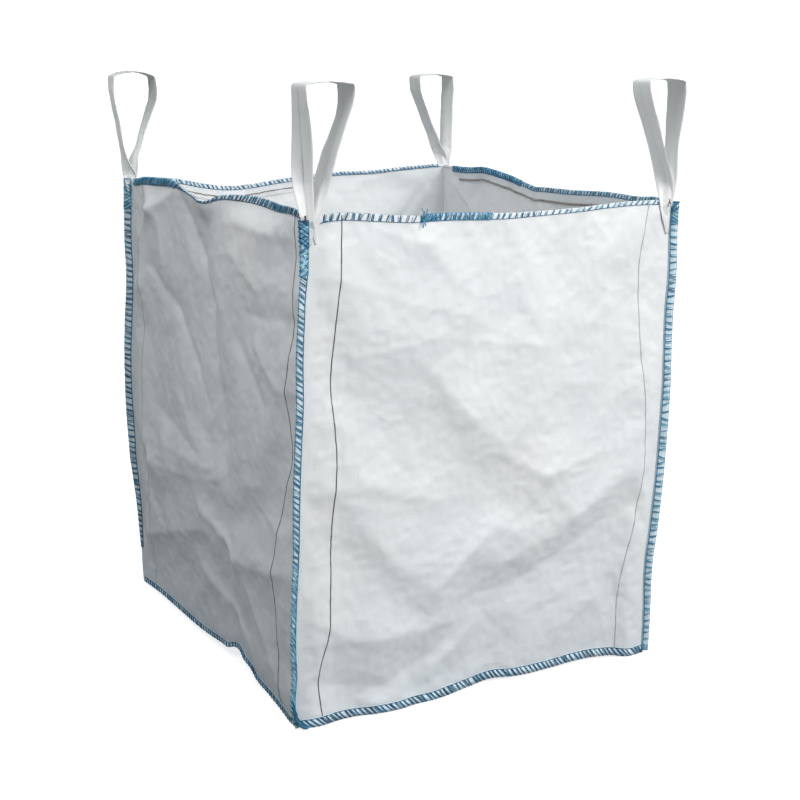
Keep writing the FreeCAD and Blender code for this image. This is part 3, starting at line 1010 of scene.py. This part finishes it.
def make_corner_thread(corner, foot, tones, slant, pitch, doubled=0.9, radius=THREAD):
    """Overlock along a corner, doubled at its top where the loop is sewn in."""
    chance = draws(corner, 300)
    strands = Strands()
    corner_run(strands, corner, foot, 0.998, pitch, slant, radius, tones, chance)
    corner_run(strands, corner, doubled, 0.999, 0.009, -1.1, 0.0012, lambda place: chance.uniform(0.3, 1.0), chance,
               extra=0.001)
    corner_run(strands, corner, (1 + doubled) / 2, 1.0, 0.008, 1.6, 0.0012, lambda place: chance.uniform(0.1, 0.9),
               chance, extra=0.0018)
    if corner == "front_left":
        corner_run(strands, corner, foot, 0.34, 0.015, 1.3, 1.1 * THREAD, steady(0.72), chance, extra=0.0004)
        add_chain_tail(strands)
    piece = strands.piece(f"corner_stitches_{corner}", "blue_thread", [f"corner_thread_{corner}"])
    return follow_collapse(piece)


def add_chain_tail(strands):
    """End of the corner's chain of stitches, hanging across the foot of the bag."""
    root, way, _, reach = (value[0] for value in corner_frames("front_left", np.array([0.065])))
    start = root + way * 0.8 * reach
    foot = CORNERS["front_left"]
    route = [start, (foot[0] - 0.016, foot[1] - 0.009, 0.04), (foot[0] - 0.009, foot[1] - 0.013, 0.018),
             (foot[0] + 0.001, foot[1] - 0.014, 0.007), (foot[0] + 0.011, foot[1] - 0.013, 0.006)]
    line = bezier(route, 40)
    for turn in (0, 2.1, 4.2):
        phase = np.linspace(0, 15, 40) + turn
        twist = 0.0022 * np.stack((np.cos(phase), 0.6 * np.sin(phase), 0.7 * np.sin(phase)), -1)
        strands.add(line + twist, 0.0019, 0.16 + 0.08 * turn / 2)


HEM_PITCH = 0.009
HEM_STITCH = {"front": 0.028, "right": 0.03, "back": 0.024, "left": 0.028}
HEM_RUN = {"front": (0.03, 0.03), "right": (0.03, 0.095), "back": (0.385, 0.03), "left": (0.03, 0.03)}
# On the right the brown row is thicker and greyer: partly the thread itself, partly a painted shadow for the shade
# under the hem's lower edge.
HEM_THREAD = {"front": 0.0014, "right": 0.0026, "back": 0.0011, "left": 0.0014}
HEM_TONE = {"front": 0.5, "right": 0.82, "back": 0.5, "left": 0.5}


def make_hem_thread(side):
    """Row of brown stitches near the foot of the hem."""
    chance = draws(side, 400)
    length = SIDE_LENGTH[side]
    count = round((length - 0.05) / HEM_PITCH)
    strands = Strands()
    first, last = HEM_RUN[side]
    for i in range(count):
        start = 0.025 + i * HEM_PITCH
        if not first < start < length - last:
            continue
        share = (start + np.linspace(-0.0008, 0.0096, 6)) / length
        drop = HEM_STITCH[side] + 0.0004 * chance.uniform(-1, 1) + 0.0008 * math.sin(i * 0.21)
        lift = -0.003 - 0.0009 * np.sin(np.linspace(0.15, math.pi - 0.15, 6))
        line = on_wall(side, share, below_rim(side, share, drop), lift)
        strands.add(line, HEM_THREAD[side], HEM_TONE[side] + chance.gauss(0, 0.12))
    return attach(strands.piece(f"hem_stitches_{side}", "brown_thread", [f"hem_thread_{side}"]), "rim")


# ---------------------------------------------------------------- lifting loops
WEB = 0.0022
WEB_WIDTH = 0.058
LEG_TOP = 0.246
# crown: y, height, arch. Each leg from its foot to its crown: height above the rim and x (mm), turn of its width
# from across the bag (degrees), and how much of its full width lies open (hundredths). The two other entries give
# how deep the painted shade along the middle fold is, and how much painted shade darkens the left leg, the crown
# and the right leg towards the top.
LOOPS = {
    "front_left": {
        "crown": (-0.457, 1.247, 0.0055), "crease": 1, "top_shade": (0.48, 0.2, 0.3),
        "left": (
            (0, -416.5, 84, 40), (6, -417.5, 80, 44), (36, -420, 62, 56), (70, -422.2, 44, 70),
            (103, -423, 28, 84), (127, -423.2, 20, 94), (148, -423.5, 15, 98), (170, -424.5, 11, 100),
            (190, -425.5, 8, 100), (212, -427.5, 4, 100), (240, -429, 2, 100)),
        "right": (
            (0, -406, 80, 30), (6, -404, 74, 34), (39, -392.5, 40, 56), (75, -380, 10, 86), (103, -371.2, 4, 98),
            (125, -365, 3, 100), (147, -356.1, -1, 100), (168, -349, -2, 100), (190, -340.9, -3, 100),
            (212, -335.5, 2, 100), (236, -333, 8, 100)),
    },
    "front_right": {
        "crown": (-0.467, 1.2525, 0.0065), "crease": 0.25, "top_shade": (0.12, 0.1, 0.46),
        "left": (
            (0, 412.5, 82, 50), (22, 411, 60, 54), (47, 406, 34, 64), (72, 397.7, 14, 74), (97, 388.2, 4, 84),
            (122, 378.7, 0, 90), (146, 369.3, -1, 98), (171, 360, -1, 100), (195, 349.4, 1, 100),
            (215, 341.7, 3, 100), (231, 336.9, 2, 100), (245, 334.6, 0, 100)),
        "right": (
            (0, 413.5, 82, 50), (22, 415, 60, 54), (47, 418, 32, 62), (71, 421.5, 8, 70), (96, 422.3, -4, 80),
            (121, 421.9, -8, 88), (145, 422.8, -8, 95), (170, 423.7, -4, 100), (194, 425.5, -1, 100),
            (214, 425.8, 2, 100), (231, 426.2, 2, 100), (245, 425.5, 3, 100)),
    },
    "back_right": {
        "crown": (0.473, 1.2375, 0.006), "crease": 0.2, "top_shade": (0.34, 0.25, 0.3),
        "left": (
            (0, 431, 84, 46), (10, 430, 70, 48), (29, 424.3, 44, 56), (60, 407, 8, 78), (91, 395.7, 0, 88),
            (122, 380.1, -2, 90), (152, 367.5, -2, 92), (178, 355.1, -2, 95), (203, 344.3, -1, 100),
            (232, 340.9, -1, 100)),
        "right": (
            (0, 431.5, 84, 46), (10, 431, 70, 48), (29, 430.4, 44, 56), (60, 435.8, 10, 82), (91, 436.5, 2, 95),
            (122, 437.3, 2, 100), (152, 438, 0, 100), (178, 438.9, 2, 100), (203, 441.3, 2, 100),
            (232, 440, 0, 100)),
    },
    "back_left": {
        "crown": (0.462, 1.236, 0.012), "crease": 0.1, "top_shade": (0.05, 0.75, 0.78),
        "left": (
            (0, -424.5, 72, 48), (6, -425.5, 56, 50), (22, -430.5, 22, 62), (50, -439.5, -4, 80),
            (78, -447.2, -10, 92), (105, -452.4, -9, 100), (133, -456.4, -9, 100), (160, -462.8, -9, 100),
            (183, -466.9, -9, 100), (206, -469.8, -7, 100), (229, -469.1, -4, 100)),
        "right": (
            (0, -424, 72, 48), (6, -423.5, 56, 50), (22, -418.3, 22, 62), (50, -413.9, -2, 90),
            (78, -404.6, -8, 95), (105, -397.7, -7, 100), (133, -388.4, -5, 100), (160, -379.1, -3, 100),
            (183, -370.5, -1, 100), (206, -369, -1, 100), (229, -371.3, -3, 100)),
    },
}
for shape in LOOPS.values():
    for leg in ("left", "right"):
        shape[leg] = np.array(shape[leg]) * (0.001, 0.001, 1, 0.01)
TAIL_DROP = {"front_left": 0.042, "front_right": 0.06, "back_right": 0.045, "back_left": 0.045}
TAIL_SHIFT = {"front_left": 0.0075, "front_right": -0.008, "back_right": -0.001, "back_left": -0.001}
TAIL_OUT = 0.0014


def loop_sections(corner):
    """Middle of a loop's webbing, its turn and its open share, from one sewn end round to the other."""
    north = np.sign(CORNERS[corner][1])
    shape = LOOPS[corner]
    crown_y, crown_z, arch = shape["crown"]

    def tail(leg, layer):
        _, x, turn, share = leg[0]
        inward = -np.sign(CORNERS[corner][0])
        made = []
        for way_down, part in ((1.0, 0.2), (0.7, 0.48), (0.35, 0.78), (0.2, 0.93)):
            drop = way_down * TAIL_DROP[corner]
            part *= 0.72 if layer == 0 else 1.0
            place = x + inward * TAIL_SHIFT[corner] * way_down
            y = wall_y(corner, place, HEIGHT - drop) + north * (TAIL_OUT + 0.4 * layer)
            made.append((place, y, HEIGHT - drop, 90, share * part))
        return made

    def free(leg, layer):
        made = []
        for height, x, turn, share in leg:
            apart = (0.7 + 0.3 * smooth(height / 0.03)) * layer
            foot_y = wall_y(corner, leg[0][1], HEIGHT) + north * (TAIL_OUT + 0.0006 + apart)
            part = smooth(height / 0.09)
            made.append((x, foot_y * (1 - part) + crown_y * part, HEIGHT + height, turn, share))
        return made

    layers = (0.0034, 0.0) if north < 0 else (0.0, 0.0034)
    left = tail(shape["left"], layers[0]) + free(shape["left"], layers[0])
    right = tail(shape["right"], layers[1]) + free(shape["right"], layers[1])
    start, end = left[-1], right[-1]
    crown = []
    for part in (0.006, 0.03, 0.1, 0.25, 0.5, 0.75, 0.9, 0.97, 0.994):
        lift = crown_z + arch * (1 - (2 * part - 1)**2) - 0.0016 * (part in (0.006, 0.994))
        crown.append((start[0] + part * (end[0] - start[0]), crown_y, lift,
                      start[3] + part * (end[3] - start[3]), 1.0))
    return np.array(left + crown + right[::-1])


def wall_y(corner, x, z):
    """How far out the front or back wall stands near one of its corners."""
    side = "front" if CORNERS[corner][1] < 0 else "back"
    first, second = (corner_line(name, np.array([z])) for name in SIDES[side])
    share = (x - first[0, 0]) / (second[0, 0] - first[0, 0])
    return float(sample(GRIDS[side], share, min(z / HEIGHT, 1.0))[1])


def eased(rows, times):
    """Rows of numbers, each drawn towards the rows beside it."""
    rows = rows.copy()
    for _ in range(times):
        rows[1:-1] = (rows[:-2] + 2 * rows[1:-1] + rows[2:]) / 4
    return rows


def make_loop(corner):
    """One strip of webbing: sewn tails beside the corner, two legs and the crown."""
    sections = loop_sections(corner)
    places = lengths(sections[:, :3])
    steps = np.linspace(0, places[-1], 300)
    rows = np.stack([np.interp(steps, places, sections[:, k]) for k in range(5)], -1)
    line, shaped = eased(rows[:, :3], 1), eased(rows[:, 3:], 30)
    way = unit(np.gradient(line, axis=0))
    turn = np.radians(shaped[:, 0])
    across = np.stack((np.sin(turn), -np.cos(turn), 0 * turn), -1)
    across = unit(across - way * np.sum(across * way, -1, keepdims=True))
    normal = np.cross(way, across)
    open_share = shaped[:, 1]
    half = WEB_WIDTH / 2 * open_share
    height = line[:, 2] - HEIGHT
    share = np.linspace(-1, 1, 17)
    chance = draws(corner, 600)
    drift = chance.uniform(0, 6)
    crease_at = 0.12 * np.sin(steps * 11 + drift)
    # Painted shade along the middle fold of each leg, weaker on the second half of the strip.
    shade = 0.75 * LOOPS[corner]["crease"] * np.where(steps < places[-1] / 2, 1.0, 0.3)
    on_leg = smooth((LEG_TOP - height) / 0.02) * smooth((height + 0.03) / 0.03)
    crease = (0.0012 + 0.005 * smooth((1 - open_share) / 0.3)) * on_leg
    curl = 0.0014 * np.sin(steps * 17 + drift) * on_leg
    firm = 0.5 + 0.5 * smooth((height + 0.01) / 0.025)
    # Painted shade: the webbing of each leg and of the crown is darkened towards the top by the listed amounts.
    top_shade = np.interp(steps / places[-1], (0.4, 0.47, 0.53, 0.6), np.array(LOOPS[corner]["top_shade"])[[0, 1, 1, 2]])
    bright = 1.0 - top_shade * smooth((height - 0.05) / 0.15)
    lines, tones = [], []
    for face in (1, -1):
        for s in share[::face]:
            ridge = crease * np.maximum(1 - np.abs(s - crease_at) / 0.9, 0) - curl * s * s
            groove = 0.0007 * np.exp(-((s - crease_at) / 0.05)**2) * on_leg
            thick = WEB / 2 * firm + 0.0003 * (0.78 < abs(s) < 0.99)
            thick = thick * (0.4 if abs(s) == 1 else 1.0) - groove
            lines.append(line + across * (s * half)[:, None] + normal * (ridge + face * thick)[:, None])
            tones.append(bright * (1 - shade * np.exp(-((s - crease_at) / 0.06)**2) * on_leg))
    piece = strips_piece(f"loop_{corner}", [lines], "webbing", [f"lifting_loop_{corner}", f"loop_leg_{corner}"],
                         np.ravel(tones))
    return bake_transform(piece)


def make_tack(corner):
    """Knot of dark thread at the foot of a loop."""
    chance = draws(corner, 500)
    north = np.sign(CORNERS[corner][1])
    x = LOOPS[corner]["left" if corner.endswith("left") else "right"][1][1]
    x += -0.006 if corner.endswith("left") else 0.003
    centre = np.array((x, wall_y(corner, x, HEIGHT) + north * 0.0078, HEIGHT + 0.008))
    strands = Strands()
    for i in range(6):
        tilt = chance.uniform(-0.5, 0.5)
        reach = np.array((0.0022 * math.cos(tilt), 0.0, 0.0022 * math.sin(tilt)))
        shift = np.array((chance.uniform(-0.001, 0.001), 0.0, (i - 2.5) * 0.0016))
        bow = np.array((0.0, north * 0.001, 0.0))
        strands.add(bezier([centre + shift - reach, centre + shift + bow, centre + shift + reach], 7), 0.0009,
                    chance.uniform(0.2, 0.6))
    for swing in (-0.004, 0.003):
        end = centre + np.array((swing, north * 0.001, -0.012))
        middle = (centre + end) / 2 + np.array((swing / 3, north * 0.002, 0))
        strands.add(bezier([centre, middle, end], 7), 0.0007, 0.4)
    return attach(strands.piece(f"loop_knot_{corner}", "tack_thread", [f"loop_tack_{corner}"]), "rim")


# ---------------------------------------------------------------- assembly
panels = {side: make_panel(side) for side in SIDES}
base = make_base()
hems = {side: make_hem(side) for side in SIDES}
foot_seams = {side: make_base_seam(side) for side in SIDES}
for corner in CORNERS:
    make_corner_seam(corner)
for side in SIDES:
    make_yarn_pair(side, *YARNS[side])
    make_hem_thread(side)
make_rim_thread("front", ((0, 0.0165), (0.2, 0.0155), (0.5, 0.0135), (0.6, 0.0115), (1, 0.0105)),
                lambda place: 0.12 + 0.36 * place, 0.35, 0.0148, radius=0.00078)
make_rim_thread("right", ((0, 0.011), (0.5, 0.012), (1, 0.014)), steady(0.44), -0.5, 0.01, turned=True,
                end=0.052)
make_rim_thread("back", ((0, 0.009), (0.3, 0.01), (1, 0.012)), steady(0.3), 0.5, 0.0115, turned=True, start=0.018,
                radius=0.0009)
make_rim_thread("left", ((0, 0.0165), (0.28, 0.0145), (0.36, 0.006), (0.5, 0.0055), (0.57, 0.011), (1, 0.013)),
                lambda place: 0.5 - 0.24 * smooth((place - 0.25) / 0.1), 0.6, 0.0115, start=0.01)
make_base_thread("front", 0.06, 0.9, 0.011)
make_base_thread("right", 0.34, 0.4, 0.0125)
make_base_thread("back", 0.34, 0.4, 0.0125)
make_base_thread("left", 0.1, 0.6, 0.0125)
make_corner_thread("front_left", 0.004, lambda place: 0.44 - 0.14 * place, 0.8, 0.012, radius=0.00082)
make_corner_thread("front_right", 0.002, steady(0.5), 0.0, 0.014, doubled=0.955)
make_corner_thread("back_right", 0.002, steady(0.4), 0.5, 0.0125)
make_corner_thread("back_left", 0.085, lambda place: 0.16 + 0.2 * place**3, 0.3, 0.0135, doubled=0.93)
for corner in CORNERS:
    make_loop(corner)
    make_tack(corner)

# ---------------------------------------------------------------- stage, light and camera
CAMERA_AT = (-1.624, -2.972, 1.325)
CAMERA_YAW, CAMERA_PITCH, CAMERA_ROLL = math.radians(29.33), math.radians(13.31), math.radians(0.83)
LENS = 68.3


def glowing_stage(piece, colour, rough, glow):
    """Paint a floor or backdrop so that it glows white but lights and shades nothing."""
    paint, _ = material(f"{piece.name}_paint", colour, rough, Specular_IOR_Level=0.0, Emission_Color=(1, 1, 1, 1),
                        Emission_Strength=glow)
    piece.data.materials.append(paint)
    piece.visible_diffuse = piece.visible_glossy = piece.visible_shadow = False


def make_stage():
    """White floor that takes a faint shadow, and a white surround that lights nothing."""
    reach = 30
    floor = new_object("floor", [(-reach, -reach, 0), (reach, -reach, 0), (reach, reach, 0), (-reach, reach, 0)],
                       [(0, 1, 2, 3)])
    glowing_stage(floor, (0.55, 0.55, 0.55), 0.9, 0.72)
    bpy.ops.mesh.primitive_uv_sphere_add(segments=48, ring_count=24, radius=28)
    surround = bpy.context.object
    surround.name = "surround"
    surround.visible_transmission = surround.visible_volume_scatter = False
    glowing_stage(surround, (0, 0, 0), 1.0, 1.3)


def add_softbox(name, place, aim, size, power, colour):
    light = bpy.data.lights.new(name, "AREA")
    light.shape = "SQUARE"
    light.size = size
    light.energy = power
    light.color = colour
    lamp = bpy.data.objects.new(name, light)
    lamp.location = place
    lamp.rotation_euler = (Vector(place) - Vector(aim)).to_track_quat("Z", "Y").to_euler()
    bpy.context.scene.collection.objects.link(lamp)


# how bright the sky is, and how much of that is left on its left side
SKY_STRENGTH = 0.8
LEFT_SKY = 0.6


def make_light():
    """Soft sky that is brightest overhead, a broad key from the front right and a weaker one from the left."""
    world = bpy.data.worlds.new("studio")
    bpy.context.scene.world = world
    world.use_nodes = True
    g = Graph(world)
    split = g.nodes.new("ShaderNodeSeparateXYZ")
    g.links.new(g.nodes.new("ShaderNodeTexCoord").outputs["Generated"], split.inputs[0])
    background = g.nodes["Background"]
    g.links.new(g.ramp(split.outputs[2], (0.0, (0.26, 0.28, 0.3)), (0.75, (0.93, 0.97, 1.0))),
                background.inputs["Color"])
    leftward = g.nodes.new("ShaderNodeMapRange")
    for socket, value in (("Value", split.outputs[0]), ("From Min", -1.0), ("From Max", 0.1), ("To Min", LEFT_SKY),
                          ("To Max", 1.0)):
        g.plug(value, leftward.inputs[socket])
    g.links.new(g.math("MULTIPLY", leftward.outputs[0], SKY_STRENGTH), background.inputs["Strength"])
    add_softbox("key", (1.5, -3.4, 2.6), (0, 0, 0.7), 1.8, 122, (0.99, 0.988, 0.975))
    add_softbox("left_fill", (-1.6, -0.6, 2.4), (-0.2, 0, 0.9), 0.9, 17, (1.0, 1.0, 1.0))


def make_camera():
    forward = Vector((math.sin(CAMERA_YAW) * math.cos(CAMERA_PITCH), math.cos(CAMERA_YAW) * math.cos(CAMERA_PITCH),
                      -math.sin(CAMERA_PITCH)))
    level = Vector((math.cos(CAMERA_YAW), -math.sin(CAMERA_YAW), 0))
    up = level.cross(forward)
    right = math.cos(CAMERA_ROLL) * level + math.sin(CAMERA_ROLL) * up
    up = math.cos(CAMERA_ROLL) * up - math.sin(CAMERA_ROLL) * level
    data = bpy.data.cameras.new("camera")
    data.lens = LENS
    camera = bpy.data.objects.new("camera", data)
    turn = Matrix((right, up, -forward)).transposed()
    camera.matrix_world = Matrix.Translation(CAMERA_AT) @ turn.to_4x4()
    bpy.context.scene.collection.objects.link(camera)
    bpy.context.scene.camera = camera


make_stage()
make_light()
make_camera()
bpy.context.scene.view_settings.view_transform = "Standard"
